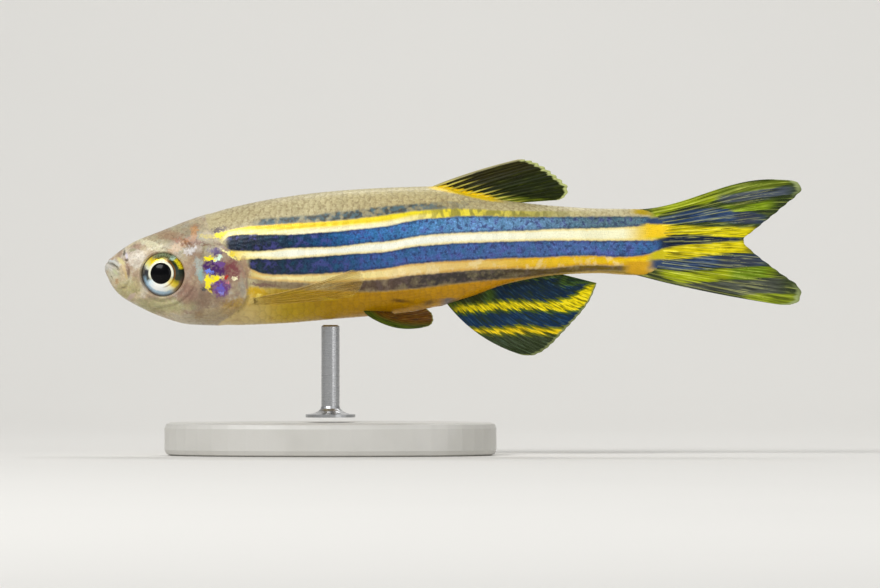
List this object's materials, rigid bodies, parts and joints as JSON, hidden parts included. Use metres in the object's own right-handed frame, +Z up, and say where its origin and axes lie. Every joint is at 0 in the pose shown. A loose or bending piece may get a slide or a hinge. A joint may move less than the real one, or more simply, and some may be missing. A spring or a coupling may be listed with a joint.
{
  "type": "zebra danio",
  "caption": "Life-size zebra danio swimming level, with rayed fins, on an oval base with one short rod under the belly.",
  "frame": {"origin": "on the floor, under the middle of the bounding box of the fish on its stand", "axes": "+Z up, the fish looks towards -X, its left side faces -Y, and the XZ plane is its middle plane"},
  "size_m": [0.042, 0.011, 0.0179],
  "materials": {
    "skin": "wet scaled skin, beige back, blue and cream stripes, golden belly",
    "fin": "thin rayed membrane, yellow and dark blue bands",
    "eye": "wet, gold and silver iris round a black pupil",
    "stand_base": "satin pale grey",
    "stand_rod": "brushed"
  },
  "bodies": {
    "root": {"head": "skin", "lower_jaw": "skin", "gill_cover_left": "skin", "gill_cover_right": "skin", "trunk": "skin", "tail_stem": "skin", "eye_left": "eye", "eye_right": "eye", "dorsal_fin": "fin", "anal_fin": "fin", "tail_fin_upper": "fin", "tail_fin_lower": "fin", "pectoral_fin_left": "fin", "pectoral_fin_right": "fin", "pelvic_fin_left": "fin", "pelvic_fin_right": "fin", "stand_base": "stand_base", "stand_rod": "stand_rod"}
  },
  "joints": []
}
